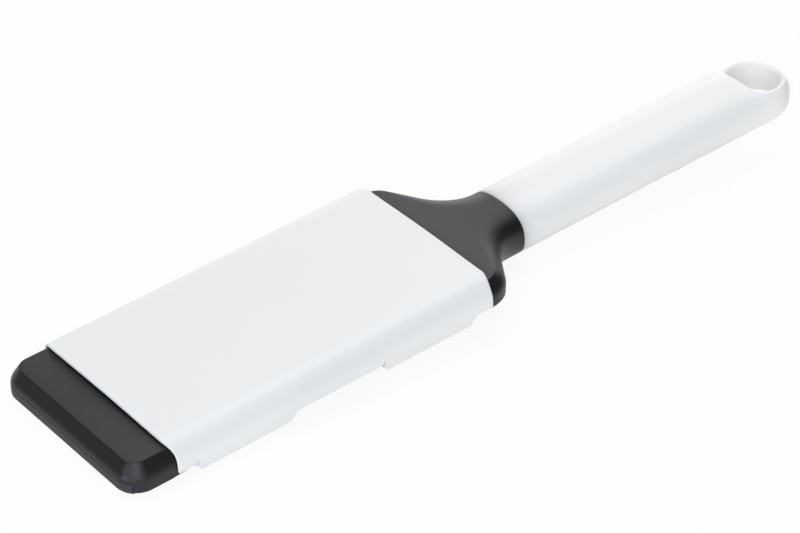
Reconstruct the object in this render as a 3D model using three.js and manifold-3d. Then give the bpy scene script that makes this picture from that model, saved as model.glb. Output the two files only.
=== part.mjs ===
// Flat hand grater with a slide-on blade cover.
// Millimetres. Working axes: x runs from the tip face to the handle end, y is across,
// z is up from the flat underside of the frame. The finished group is moved so that its
// origin is the bottom centre of the bounding box.
import * as THREE from 'three';
import { mergeVertices } from 'three/addons/utils/BufferGeometryUtils.js';
import Module from 'manifold-3d';

const wasm = await Module();
wasm.setup();
const { Manifold, Mesh: SolidMesh } = wasm;

// Overall sizes
const overallLength = 320;
const collarEndX = 183.7;
const frameWidth = 73.8;
const frameHeight = 10.2;
const handleWidth = 28;
const handleHeight = 19.7;
const handleAxisZ = -1;
const ovalPower = 2.45;

// Frame outline and edge
const tipCornerRadius = 8.3;
const shoulderRadius = 13;
const shoulderTurn = 55.8;
const neckFillet = 18.7;
const collarLength = 1.6;
const ovalLead = 5;
const ovalEnd = 2.2;
const bottomEdge = 0.9;
const railBottomEdge = 1.4;
const wallTopZ = 3.5;
const neckWallTopZ = 4;
const neckHeight = 9.3;
const neckRamp = 3.5;
const creaseInset = 3.4;
const frontCreaseInset = 3.5;
const neckCreaseInset = 3.9;
const bevelBlend = 0.45;
const neckBevelBlend = 0.7;

// Blade, its window and the ring that clamps it
const windowStartX = 25.2;
const windowLength = 118;
const railWidth = 6.65;
const windowCorner = 4;
const lipOverlap = 2.6;
const lipThickness = 1.1;
const bladeThickness = 0.5;
const toothHeight = 1.2;
const toothHalfWidth = 1.9;
const toothThroat = 1.3;
const toothRows = 15;
const teethPerRow = 9;
const pocketClearance = 0.3;
const ringHeight = 4.2;
const ringWall = 2.6;
const snapReach = 0.7;
const snapLength = 8;
const snapHeight = 1.4;

// Foot strip under the tip
const footCornerInset = 3.9;
const footDepth = 5;
const footHeight = 3.9;
const footProud = 0.3;
const footSeam = 0.25;
const pegRadius = 1.2;
const pegLength = 3;
const pegSpread = 20;

// Handle shell and the ribbed tang inside it
const shellWall = 3;
const tangClearance = 0.3;
const tangLength = 96;
const tangRibCount = 7;
const tangRibThickness = 2;
const tangWeb = 3;
const holeLength = 17.4;
const holeWidth = 18.2;
const holeEndWall = 3.6;
const holeNearCorner = 5.5;
const handleEndRound = 11;
const handleEndFlat = 0.04;
const handleDropLength = 40;
const handleEndDrop = 2.2;

// Blade cover
const coverStartX = 17.4;
const coverLength = 133;
const coverWall = 1;
const coverTopWall = 1.2;
const coverSideClearance = 0.25;
const coverTopClearance = 1.08;
const coverCorner = 8;
const coverInnerCorner = 6;
const coverCrown = 0.4;
const coverEndRake = 1.4;
const coverSkirtZ = 1.95;
const hookClearance = 0.3;
const hookThickness = 1;
const hookReach = 3;
const hookLeadIn = 3;
const hookCorner = 2;
const hookLength = 39.7;
const hookInset = 8.65;
const slitWidth = 0.4;
const slitDepth = 1.1;

const radians = Math.PI / 180;
const halfFrame = frameWidth / 2;
const halfHandle = handleWidth / 2;
const halfHandleHeight = handleHeight / 2;
const windowWidth = frameWidth - 2 * railWidth;
const footHalfLength = halfFrame - footCornerInset;

// Solids are exchanged with the boolean kernel as bare indexed triangles.
function solidOf(geometry) {
  const bare = geometry.clone();
  bare.deleteAttribute('normal');
  bare.deleteAttribute('uv');
  const merged = mergeVertices(bare, 1e-4);
  return new Manifold(new SolidMesh({
    numProp: 3,
    vertProperties: Float32Array.from(merged.attributes.position.array),
    triVerts: Uint32Array.from(merged.index.array),
  }));
}

function geometryOf(solid) {
  const mesh = solid.getMesh();
  const geometry = new THREE.BufferGeometry();
  geometry.setAttribute('position', new THREE.BufferAttribute(Float32Array.from(mesh.vertProperties), 3));
  geometry.setIndex(new THREE.BufferAttribute(Uint32Array.from(mesh.triVerts), 1));
  return geometry;
}

function signedVolume(points, triangles) {
  let volume = 0;
  for (const [a, b, c] of triangles) {
    volume += points[a].dot(new THREE.Vector3().crossVectors(points[b], points[c])) / 6;
  }
  return volume;
}

// A closed body from points and triangles, turned outward if it came out inside out.
function closedGeometry(points, triangles) {
  const flip = signedVolume(points, triangles) < 0;
  const index = triangles.flatMap(([a, b, c]) => (flip ? [a, c, b] : [a, b, c]));
  const geometry = new THREE.BufferGeometry();
  const coordinates = points.flatMap((p) => [p.x, p.y, p.z]);
  geometry.setAttribute('position', new THREE.BufferAttribute(new Float32Array(coordinates), 3));
  geometry.setIndex(index);
  return geometry;
}

// Convex rings joined in order, with a flat cap on each end.
function loft(rings) {
  const count = rings[0].length;
  const points = rings.flat();
  const triangles = [];
  for (let r = 0; r + 1 < rings.length; r += 1) {
    for (let k = 0; k < count; k += 1) {
      const a = r * count + k;
      const b = r * count + ((k + 1) % count);
      triangles.push([a, b, b + count], [a, b + count, a + count]);
    }
  }
  const last = (rings.length - 1) * count;
  for (let k = 1; k + 1 < count; k += 1) {
    triangles.push([0, k + 1, k], [last, last + k, last + k + 1]);
  }
  return closedGeometry(points, triangles);
}

function boxSolid(x0, x1, y0, y1, z0, z1) {
  const geometry = new THREE.BoxGeometry(x1 - x0, y1 - y0, z1 - z0);
  geometry.translate((x0 + x1) / 2, (y0 + y1) / 2, (z0 + z1) / 2);
  return solidOf(geometry);
}

// An upright prism from a plan shape.
function prismSolid(shape, z0, z1, curveSegments = 6) {
  const geometry = new THREE.ExtrudeGeometry(shape, { depth: z1 - z0, bevelEnabled: false, curveSegments });
  geometry.translate(0, 0, z0);
  return solidOf(geometry);
}

// A prism across y from a side view drawn in x and z.
function sideSolid(shape, y0, y1, curveSegments = 6) {
  const geometry = new THREE.ExtrudeGeometry(shape, { depth: y1 - y0, bevelEnabled: false, curveSegments });
  geometry.rotateX(Math.PI / 2);
  geometry.translate(0, y1, 0);
  return solidOf(geometry);
}

// A prism along x from a section drawn in y and z.
function sectionSolid(shape, x0, x1, curveSegments = 8) {
  const geometry = new THREE.ExtrudeGeometry(shape, { depth: x1 - x0, bevelEnabled: false, curveSegments });
  geometry.applyMatrix4(new THREE.Matrix4().set(0, 0, 1, x0, 1, 0, 0, 0, 0, 1, 0, 0, 0, 0, 0, 1));
  return solidOf(geometry);
}

function roundedRectangle(x0, x1, halfWidth, corner) {
  const shape = new THREE.Shape();
  shape.moveTo(x0 + corner, -halfWidth);
  shape.lineTo(x1 - corner, -halfWidth);
  shape.absarc(x1 - corner, -halfWidth + corner, corner, -Math.PI / 2, 0, false);
  shape.lineTo(x1, halfWidth - corner);
  shape.absarc(x1 - corner, halfWidth - corner, corner, 0, Math.PI / 2, false);
  shape.lineTo(x0 + corner, halfWidth);
  shape.absarc(x0 + corner, halfWidth - corner, corner, Math.PI / 2, Math.PI, false);
  shape.lineTo(x0, -halfWidth + corner);
  shape.absarc(x0 + corner, -halfWidth + corner, corner, Math.PI, 1.5 * Math.PI, false);
  return shape;
}

// Point on the handle's oval section at an angle from the +y side.
function ovalPoint(x, halfWidth, halfHeight, angle) {
  const c = Math.cos(angle);
  const s = Math.sin(angle);
  const y = halfWidth * Math.sign(c) * Math.abs(c) ** (2 / ovalPower);
  const z = handleAxisZ + halfHeight * Math.sign(s) * Math.abs(s) ** (2 / ovalPower);
  return new THREE.Vector3(x, y, z);
}

function ovalRing(x, halfWidth, halfHeight, count) {
  const ring = [];
  for (let k = 0; k < count; k += 1) {
    ring.push(ovalPoint(x, halfWidth, halfHeight, (k / count) * 2 * Math.PI));
  }
  return ring;
}

// Frame skin

// Half of the plan outline, from the tip corner round the shoulder to the collar end.
// Each station has its outward plan direction, the shares of the front's and the neck's crease
// and of the rails' lower edge that it uses, how far the top has come down the ramp to the neck
// and how far its edge has turned from the flat plate (0) into the oval (1).
function outlineStations() {
  const stations = [];
  const turn = shoulderTurn * radians;
  const collarStartX = collarEndX - collarLength;
  const arcTopY = halfHandle + neckFillet * (1 - Math.cos(turn));
  const shoulderEndY = halfFrame - shoulderRadius + shoulderRadius * Math.cos(turn);
  const slopeLength = (shoulderEndY - arcTopY) / Math.sin(turn);
  const arcStartX = collarStartX - neckFillet * Math.sin(turn);
  const shoulderX = arcStartX - slopeLength * Math.cos(turn) - shoulderRadius * Math.sin(turn);
  const slopeX = shoulderX + shoulderRadius * Math.sin(turn);
  const morphStart = slopeX - ovalLead;
  const morphEnd = collarEndX - ovalEnd;
  const morph = (x) => THREE.MathUtils.smoothstep(x, morphStart, morphEnd);
  const tipSteps = 8;
  for (let k = 0; k <= tipSteps; k += 1) {
    const a = (k / tipSteps) * Math.PI / 2;
    stations.push({
      x: tipCornerRadius * (1 - Math.cos(a)),
      y: halfFrame - tipCornerRadius * (1 - Math.sin(a)),
      nx: -Math.cos(a),
      ny: Math.sin(a),
      front: 1 - k / tipSteps,
      neck: 0,
      rail: 0,
      ramp: 0,
      oval: 0,
    });
  }
  for (const x of [windowStartX, shoulderX - neckRamp]) {
    const neck = (x - tipCornerRadius) / (shoulderX - tipCornerRadius);
    stations.push({ x, y: halfFrame, nx: 0, ny: 1, front: 0, neck, rail: 1, ramp: 0, oval: 0 });
  }
  const shoulderSteps = 7;
  for (let k = 0; k <= shoulderSteps; k += 1) {
    const b = (k / shoulderSteps) * turn;
    const x = shoulderX + shoulderRadius * Math.sin(b);
    stations.push({
      x,
      y: halfFrame - shoulderRadius * (1 - Math.cos(b)),
      nx: Math.sin(b),
      ny: Math.cos(b),
      front: 0,
      neck: 1,
      rail: 0,
      ramp: 1,
      oval: morph(x),
    });
  }
  for (const share of [1 / 3, 2 / 3]) {
    const x = slopeX + share * slopeLength * Math.cos(turn);
    stations.push({
      x,
      y: shoulderEndY - share * slopeLength * Math.sin(turn),
      nx: Math.sin(turn),
      ny: Math.cos(turn),
      front: 0,
      neck: 1,
      rail: 0,
      ramp: 1,
      oval: morph(x),
    });
  }
  const neckSteps = 9;
  for (let k = 0; k <= neckSteps; k += 1) {
    const b = (1 - k / neckSteps) * turn;
    const x = collarStartX - neckFillet * Math.sin(b);
    stations.push({
      x,
      y: halfHandle + neckFillet * (1 - Math.cos(b)),
      nx: Math.sin(b),
      ny: Math.cos(b),
      front: 0,
      neck: 1,
      rail: 0,
      ramp: 1,
      oval: morph(x),
    });
  }
  for (const x of [collarStartX + collarLength / 2, collarEndX]) {
    stations.push({ x, y: halfHandle, nx: 0, ny: 1, front: 0, neck: 1, rail: 0, ramp: 1, oval: morph(x) });
  }
  return stations;
}

// Edge of the plate from the underside to the crease of the flat top: inset and height. The
// wall rounds into the bevel over the blend's share of its height, then the bevel is straight.
function plateEdge(station) {
  const side = THREE.MathUtils.lerp(creaseInset, neckCreaseInset, station.neck);
  const crease = THREE.MathUtils.lerp(side, frontCreaseInset, station.front);
  const low = THREE.MathUtils.lerp(bottomEdge, railBottomEdge, station.rail);
  const wallTop = THREE.MathUtils.lerp(wallTopZ, neckWallTopZ, station.neck);
  const top = THREE.MathUtils.lerp(frameHeight, neckHeight, station.ramp);
  const blend = THREE.MathUtils.lerp(bevelBlend, neckBevelBlend, station.neck);
  const run = crease / (1 - blend / 2);
  const edge = [];
  for (let k = 0; k <= 2; k += 1) {
    const a = (k / 2) * Math.PI / 2;
    edge.push({ inset: low * (1 - Math.sin(a)), z: low * (1 - Math.cos(a)) });
  }
  edge.push({ inset: 0, z: (low + wallTop) / 2 });
  const steps = 6;
  for (let k = 0; k <= steps; k += 1) {
    const s = k / steps;
    const inset = s < blend ? run * s * s / (2 * blend) : run * (s - blend / 2);
    edge.push({ inset, z: THREE.MathUtils.lerp(wallTop, top, s) });
  }
  return edge;
}

function frameSkin() {
  const stations = outlineStations();
  const levels = plateEdge(stations[0]).length;
  const points = [];
  for (const side of [1, -1]) {
    for (const station of stations) {
      const edge = plateEdge(station);
      for (let j = 0; j < levels; j += 1) {
        const angle = THREE.MathUtils.lerp(-80, 80, j / (levels - 1)) * radians;
        const oval = ovalPoint(station.x, halfHandle, halfHandleHeight, angle);
        const inset = THREE.MathUtils.lerp(edge[j].inset, halfHandle - oval.y, station.oval);
        const z = THREE.MathUtils.lerp(edge[j].z, oval.z, station.oval);
        points.push(new THREE.Vector3(
          station.x - station.nx * inset,
          side * (station.y - station.ny * inset),
          z,
        ));
      }
    }
  }
  const count = stations.length;
  const at = (side, i, j) => (side * count + i) * levels + j;
  const triangles = [];
  const quad = (a, b, c, d) => triangles.push([a, b, c], [a, c, d]);
  for (let i = 0; i + 1 < count; i += 1) {
    for (let j = 0; j + 1 < levels; j += 1) {
      quad(at(0, i, j), at(0, i, j + 1), at(0, i + 1, j + 1), at(0, i + 1, j));
      quad(at(1, i, j), at(1, i + 1, j), at(1, i + 1, j + 1), at(1, i, j + 1));
    }
    quad(at(0, i, levels - 1), at(1, i, levels - 1), at(1, i + 1, levels - 1), at(0, i + 1, levels - 1));
    quad(at(0, i, 0), at(0, i + 1, 0), at(1, i + 1, 0), at(1, i, 0));
  }
  for (let j = 0; j + 1 < levels; j += 1) {
    quad(at(0, 0, j), at(1, 0, j), at(1, 0, j + 1), at(0, 0, j + 1));
    quad(at(0, count - 1, j), at(0, count - 1, j + 1), at(1, count - 1, j + 1), at(1, count - 1, j));
  }
  return solidOf(closedGeometry(points, triangles));
}

// Levels and plan sizes of the blade seat, shared by the frame, the blade and the ring.
const windowEndX = windowStartX + windowLength;
const bladeTopZ = frameHeight - lipThickness;
const bladeBottomZ = bladeTopZ - bladeThickness;
const ringBottomZ = bladeBottomZ - ringHeight;
const bladeStartX = windowStartX - lipOverlap;
const bladeEndX = windowEndX + lipOverlap;
const bladeHalf = windowWidth / 2 + lipOverlap;
const bladeCorner = windowCorner;
const pocketHalf = bladeHalf + pocketClearance;
const pocketCorner = bladeCorner + pocketClearance;

// Long-side snap ribs that hold the ring up against the blade.
function snapRibs() {
  const ribs = [];
  const slope = snapHeight / 2;
  for (const side of [1, -1]) {
    for (const share of [0.15, 0.5, 0.85]) {
      const middle = windowStartX + share * windowLength;
      const wallY = side * (pocketHalf + 0.5);
      const tipY = side * (pocketHalf - snapReach);
      const shape = new THREE.Shape();
      shape.moveTo(wallY, ringBottomZ);
      shape.lineTo(tipY, ringBottomZ);
      shape.lineTo(tipY, ringBottomZ - slope);
      shape.lineTo(wallY, ringBottomZ - snapHeight - snapReach);
      ribs.push(sectionSolid(shape, middle - snapLength / 2, middle + snapLength / 2));
    }
  }
  return ribs;
}

// Ribbed tang: two crossed webs and oval ribs that fill the socket of the handle shell.
const socketHalfWidth = halfHandle - shellWall;
const socketHalfHeight = halfHandleHeight - shellWall;

function tangSolid() {
  const halfWidth = socketHalfWidth - tangClearance;
  const halfHeight = socketHalfHeight - tangClearance;
  const startX = collarEndX - collarLength;
  const endX = collarEndX + tangLength;
  const core = 0.92;
  const parts = [
    boxSolid(startX, endX, -halfWidth * core, halfWidth * core,
      handleAxisZ - tangWeb / 2, handleAxisZ + tangWeb / 2),
    boxSolid(startX, endX, -tangWeb / 2, tangWeb / 2,
      handleAxisZ - halfHeight * core, handleAxisZ + halfHeight * core),
  ];
  const pitch = (tangLength - tangRibThickness) / tangRibCount;
  for (let k = 1; k <= tangRibCount; k += 1) {
    const x = collarEndX + k * pitch;
    const rings = [x, x + tangRibThickness].map((v) => ovalRing(v, halfWidth, halfHeight, 20));
    parts.push(solidOf(loft(rings)));
  }
  return Manifold.union(parts);
}

function pegSolid(radius, x0, x1, y, z) {
  const shape = new THREE.Shape();
  shape.absarc(y, z, radius, 0, 2 * Math.PI, false);
  return sectionSolid(shape, x0, x1, 8);
}

function footPegs(clearance) {
  const height = footHeight / 2;
  return [-pegSpread, pegSpread].map((y) => pegSolid(
    pegRadius + clearance,
    footDepth - 1,
    footDepth + pegLength + clearance,
    y,
    height,
  ));
}

function frameSolid(skin) {
  const below = -1;
  const pocket = roundedRectangle(
    bladeStartX - pocketClearance,
    bladeEndX + pocketClearance,
    pocketHalf,
    pocketCorner,
  );
  const window = roundedRectangle(windowStartX, windowEndX, windowWidth / 2, windowCorner);
  const hollow = prismSolid(pocket, below, bladeTopZ);
  const opening = prismSolid(window, below, frameHeight + 1);
  const notch = boxSolid(-1, footDepth, -footHalfLength - footSeam, footHalfLength + footSeam,
    below, footHeight + footSeam);
  const cut = skin.subtract(Manifold.union([hollow, opening, notch, ...footPegs(footSeam)]));
  return Manifold.union([cut, ...snapRibs(), tangSolid()]);
}

// The foot is the part of the skin inside the notch, less the seam, with its two pegs and a
// sole that stands a little below the underside.
function footSolid(skin) {
  const block = boxSolid(-1, footDepth, -footHalfLength, footHalfLength, -1, footHeight);
  const body = skin.intersect(block);
  const slice = boxSolid(-1, footDepth, -footHalfLength, footHalfLength, -1, 2 * footProud);
  const sole = body.intersect(slice).translate(0, 0, -footProud);
  return Manifold.union([body, sole, ...footPegs(0)]);
}

function ringSolid() {
  const outer = roundedRectangle(bladeStartX, bladeEndX, bladeHalf, bladeCorner);
  const inset = ringWall;
  const inner = roundedRectangle(
    bladeStartX + inset,
    bladeEndX - inset,
    bladeHalf - inset,
    Math.max(bladeCorner - inset, 0.8),
  );
  const body = prismSolid(outer, ringBottomZ, bladeBottomZ);
  return body.subtract(prismSolid(inner, ringBottomZ - 1, bladeBottomZ + 1));
}

// Grating blade: a sheet in staggered tiles. Every full tile has a hole whose tip-side
// edge is lifted into an arched lip, open toward the handle.
function bladeGeometry() {
  const points = [];
  const lookup = new Map();
  const triangles = [];
  const pointAt = (x, y, z) => {
    const key = [x, y, z].map((v) => v.toFixed(4)).join();
    if (!lookup.has(key)) {
      lookup.set(key, points.length);
      points.push(new THREE.Vector3(x, y, z));
    }
    return lookup.get(key);
  };
  // One triangle on the upper face and its partner on the lower face.
  const sheet = (a, b, c) => {
    const upper = [a, b, c].map(([x, y, rise]) => pointAt(x, y, bladeTopZ + rise));
    const lower = [a, c, b].map(([x, y, rise]) => pointAt(x, y, bladeBottomZ + rise));
    triangles.push(upper, lower);
  };
  const wall = (a, b) => {
    const upperA = pointAt(a[0], a[1], bladeTopZ + a[2]);
    const upperB = pointAt(b[0], b[1], bladeTopZ + b[2]);
    const lowerA = pointAt(a[0], a[1], bladeBottomZ + a[2]);
    const lowerB = pointAt(b[0], b[1], bladeBottomZ + b[2]);
    triangles.push([upperA, lowerA, lowerB], [upperA, lowerB, upperB]);
  };
  const quad = (x0, x1, y0, y1) => {
    sheet([x0, y0, 0], [x1, y0, 0], [x1, y1, 0]);
    sheet([x0, y0, 0], [x1, y1, 0], [x0, y1, 0]);
  };
  const rowPitch = (windowLength - 2 * windowCorner) / toothRows;
  const toothPitch = (windowWidth - 2 * windowCorner) / teethPerRow;
  const startX = windowStartX + windowCorner;
  const startY = -windowWidth / 2 + windowCorner;
  const gridX = Array.from({ length: toothRows + 1 }, (_, i) => startX + i * rowPitch);
  const gridY = Array.from({ length: 2 * teethPerRow + 1 }, (_, i) => startY + i * toothPitch / 2);
  const toothTile = (x0, x1, y0, y1, y2) => {
    const cx = (x0 + x1) / 2;
    const rim = [];
    for (let k = 0; k <= 4; k += 1) {
      const a = (k / 4 - 0.5) * Math.PI;
      rim.push([cx - 0.4 * Math.cos(a), y1 + toothHalfWidth * Math.sin(a), toothHeight * Math.cos(a)]);
    }
    for (let k = 1; k <= 3; k += 1) {
      const a = (0.5 - k / 4) * Math.PI;
      rim.push([cx + toothThroat * Math.cos(a), y1 + toothHalfWidth * Math.sin(a), 0]);
    }
    const [r0, r1, r2, r3, r4, r5, r6, r7] = rim;
    const near0 = [x0, y0, 0];
    const near1 = [x1, y0, 0];
    const mid0 = [x0, y1, 0];
    const mid1 = [x1, y1, 0];
    const far0 = [x0, y2, 0];
    const far1 = [x1, y2, 0];
    const faces = [
      [near0, r0, r1], [near0, r1, mid0], [mid0, r1, r2], [mid0, r2, r3], [mid0, r3, far0],
      [far0, r3, r4], [far0, r4, far1], [far1, r4, r5], [far1, r5, mid1], [mid1, r5, r6],
      [mid1, r6, r7], [mid1, r7, near1], [near1, r7, r0], [near1, r0, near0],
    ];
    faces.forEach((face) => sheet(...face));
    rim.forEach((p, k) => wall(p, rim[(k + 1) % rim.length]));
  };
  for (let row = 0; row < toothRows; row += 1) {
    const x0 = gridX[row];
    const x1 = gridX[row + 1];
    const shift = row % 2;
    for (let k = shift; k + 2 < gridY.length; k += 2) {
      toothTile(x0, x1, gridY[k], gridY[k + 1], gridY[k + 2]);
    }
    if (shift === 1) {
      const last = gridY.length - 1;
      quad(x0, x1, gridY[0], gridY[1]);
      quad(x0, x1, gridY[last - 1], gridY[last]);
    }
  }
  // Plain border out to the clamped edge with clipped corners, and the sheared edge itself.
  const gridEndX = gridX[toothRows];
  const gridEndY = gridY[2 * teethPerRow];
  for (let i = 0; i < toothRows; i += 1) {
    const x0 = gridX[i];
    const x1 = gridX[i + 1];
    quad(x0, x1, -bladeHalf, startY);
    quad(x0, x1, gridEndY, bladeHalf);
    wall([x0, -bladeHalf, 0], [x1, -bladeHalf, 0]);
    wall([x1, bladeHalf, 0], [x0, bladeHalf, 0]);
  }
  for (let j = 0; j < 2 * teethPerRow; j += 1) {
    const y0 = gridY[j];
    const y1 = gridY[j + 1];
    quad(bladeStartX, startX, y0, y1);
    quad(gridEndX, bladeEndX, y0, y1);
    wall([bladeEndX, y0, 0], [bladeEndX, y1, 0]);
    wall([bladeStartX, y1, 0], [bladeStartX, y0, 0]);
  }
  const corners = [
    [[startX, startY, 0], [bladeStartX, startY, 0], [startX, -bladeHalf, 0]],
    [[gridEndX, startY, 0], [gridEndX, -bladeHalf, 0], [bladeEndX, startY, 0]],
    [[gridEndX, gridEndY, 0], [bladeEndX, gridEndY, 0], [gridEndX, bladeHalf, 0]],
    [[startX, gridEndY, 0], [startX, bladeHalf, 0], [bladeStartX, gridEndY, 0]],
  ];
  for (const [inner, from, to] of corners) {
    sheet(inner, from, to);
    wall(from, to);
  }
  return closedGeometry(points, triangles);
}

// Handle shell

// Half sizes of the handle at x: constant, then a round end in plan and in side view.
function handleHalfSizes(x) {
  const fromEnd = overallLength - x + handleEndFlat;
  const plan = Math.min(fromEnd / halfHandle, 1);
  const side = Math.min(fromEnd / handleEndRound, 1);
  return [
    halfHandle * Math.sqrt(1 - (1 - plan) ** 2),
    halfHandleHeight * (1 - (1 - side) ** 2.4) ** (1 / 2.4),
  ];
}

// Ring of the handle's skin: the top falls away toward the end, the underside stays straight.
function handleRing(x, count) {
  const [halfWidth, halfHeight] = handleHalfSizes(x);
  const run = Math.max(x - overallLength + handleDropLength, 0) / handleDropLength;
  const topShare = 1 - (handleEndDrop / halfHandleHeight) * run ** 1.25;
  return ovalRing(x, halfWidth, halfHeight, count).map((p) => {
    const rise = p.z - handleAxisZ;
    return new THREE.Vector3(p.x, p.y, handleAxisZ + (rise > 0 ? rise * topShare : rise));
  });
}

function hangingHoleShape() {
  const endX = overallLength - holeEndWall;
  const startX = endX - holeLength;
  const half = holeWidth / 2;
  const shape = new THREE.Shape();
  shape.moveTo(startX + holeNearCorner, -half);
  shape.lineTo(endX - half, -half);
  shape.absellipse(endX - half, 0, half, half, -Math.PI / 2, Math.PI / 2, false);
  shape.lineTo(startX + holeNearCorner, half);
  shape.absarc(startX + holeNearCorner, half - holeNearCorner, holeNearCorner, Math.PI / 2, Math.PI, false);
  shape.lineTo(startX, -half + holeNearCorner);
  shape.absarc(startX + holeNearCorner, -half + holeNearCorner, holeNearCorner, Math.PI, 1.5 * Math.PI, false);
  return shape;
}

function handleSolid() {
  const stations = [collarEndX];
  const dropX = overallLength - handleDropLength;
  for (let k = 0; k <= 4; k += 1) {
    stations.push(THREE.MathUtils.lerp(dropX, overallLength - halfHandle, k / 4));
  }
  const steps = 9;
  for (let k = 1; k <= steps; k += 1) {
    stations.push(overallLength - halfHandle * (1 - Math.sin((k / steps) * Math.PI / 2)));
  }
  const rings = stations.map((x) => handleRing(x, 36));
  const socketEndX = collarEndX + tangLength + tangClearance;
  const socket = [collarEndX - 1, socketEndX].map((x) => ovalRing(x, socketHalfWidth, socketHalfHeight, 28));
  const hole = prismSolid(
    hangingHoleShape(),
    handleAxisZ - handleHeight,
    handleAxisZ + handleHeight,
    10,
  );
  return solidOf(loft(rings)).subtract(Manifold.union([solidOf(loft(socket)), hole]));
}

// Blade cover

const coverInnerHalf = halfFrame + coverSideClearance;
const coverHalf = coverInnerHalf + coverWall;
const coverInnerTopZ = frameHeight + coverTopClearance;
const coverTopZ = coverInnerTopZ + coverTopWall;
const hookTopZ = -hookClearance;
const hookBottomZ = hookTopZ - hookThickness;

// Channel section drawn in y and z, open below, with a slightly crowned top.
function coverSection() {
  const outerY = coverHalf - coverCorner;
  const outerZ = coverTopZ - coverCrown - coverCorner;
  const innerY = coverInnerHalf - coverInnerCorner;
  const innerZ = coverInnerTopZ - coverCrown - coverInnerCorner;
  const shape = new THREE.Shape();
  shape.moveTo(coverHalf, coverSkirtZ);
  shape.lineTo(coverHalf, outerZ);
  shape.absarc(outerY, outerZ, coverCorner, 0, Math.PI / 2, false);
  shape.quadraticCurveTo(0, coverTopZ + coverCrown, -outerY, outerZ + coverCorner);
  shape.absarc(-outerY, outerZ, coverCorner, Math.PI / 2, Math.PI, false);
  shape.lineTo(-coverHalf, coverSkirtZ);
  shape.lineTo(-coverInnerHalf, coverSkirtZ);
  shape.lineTo(-coverInnerHalf, innerZ);
  shape.absarc(-innerY, innerZ, coverInnerCorner, Math.PI, Math.PI / 2, true);
  shape.quadraticCurveTo(0, coverInnerTopZ + coverCrown, innerY, innerZ + coverInnerCorner);
  shape.absarc(innerY, innerZ, coverInnerCorner, Math.PI / 2, 0, true);
  shape.lineTo(coverInnerHalf, coverSkirtZ);
  return shape;
}

// The channel's ends lean in toward the skirt.
function coverChannel() {
  const middleX = coverStartX + coverLength / 2;
  const lean = coverEndRake / (coverTopZ - coverSkirtZ);
  return sectionSolid(coverSection(), coverStartX, coverStartX + coverLength).warp((point) => {
    point[0] += Math.sign(middleX - point[0]) * lean * (coverTopZ - point[2]);
  });
}

// Hook below the skirt: an L in section, with a round corner toward the tip and a lead-in
// slant toward the handle.
function hookSolid(startX, side) {
  const endX = startX + hookLength;
  const outer = side * coverHalf;
  const inner = side * coverInnerHalf;
  const toe = side * (coverInnerHalf - hookReach);
  const section = new THREE.Shape();
  section.moveTo(outer, coverSkirtZ + 1);
  section.lineTo(inner, coverSkirtZ + 1);
  section.lineTo(inner, hookTopZ);
  section.lineTo(toe, hookTopZ);
  section.lineTo(toe, hookBottomZ);
  section.lineTo(outer, hookBottomZ);
  const profile = new THREE.Shape();
  profile.moveTo(endX, coverSkirtZ + 2);
  profile.lineTo(startX, coverSkirtZ + 2);
  profile.lineTo(startX, hookBottomZ + hookCorner);
  profile.absarc(startX + hookCorner, hookBottomZ + hookCorner, hookCorner, Math.PI, 1.5 * Math.PI, false);
  profile.lineTo(endX - hookLeadIn, hookBottomZ);
  profile.lineTo(endX, coverSkirtZ);
  return sectionSolid(section, startX, endX).intersect(sideSolid(profile, -coverHalf - 1, coverHalf + 1));
}

function coverSolid() {
  const hookStarts = [coverStartX + hookInset, coverStartX + coverLength - hookInset - hookLength];
  const hooks = [];
  const slits = [];
  for (const side of [1, -1]) {
    for (const startX of hookStarts) {
      hooks.push(hookSolid(startX, side));
      const y = side * (coverInnerHalf + coverWall / 2);
      slits.push(boxSolid(startX - slitWidth, startX, y - coverWall, y + coverWall,
        coverSkirtZ - 1, coverSkirtZ + slitDepth));
    }
  }
  return Manifold.union([coverChannel(), ...hooks]).subtract(Manifold.union(slits));
}

// Assembly

const blackPlastic = { color: 0x2c2d30, roughness: 0.45, metalness: 0 };
const softBlack = { color: 0x36373a, roughness: 0.75, metalness: 0 };
const whitePlastic = { color: 0xeceff1, roughness: 0.4, metalness: 0 };
const steel = { color: 0xc2c5c8, roughness: 0.25, metalness: 1 };

const part = new THREE.Group();
part.name = 'hand_grater';

function addNode(name, geometry, finish) {
  const placed = geometry.clone();
  placed.translate(-overallLength / 2, 0, halfHandleHeight - handleAxisZ);
  placed.computeVertexNormals();
  const mesh = new THREE.Mesh(placed, new THREE.MeshStandardMaterial(finish));
  mesh.name = name;
  part.add(mesh);
}

const skin = frameSkin();
addNode('frame', geometryOf(frameSolid(skin)), blackPlastic);
addNode('tip_foot', geometryOf(footSolid(skin)), softBlack);
addNode('grating_blade', bladeGeometry(), steel);
addNode('blade_retainer', geometryOf(ringSolid()), blackPlastic);
addNode('handle_shell', geometryOf(handleSolid()), whitePlastic);
addNode('blade_cover', geometryOf(coverSolid()), whitePlastic);

export default part;
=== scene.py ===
import math
import bmesh
import bpy
from mathutils import Matrix, Vector


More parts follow.
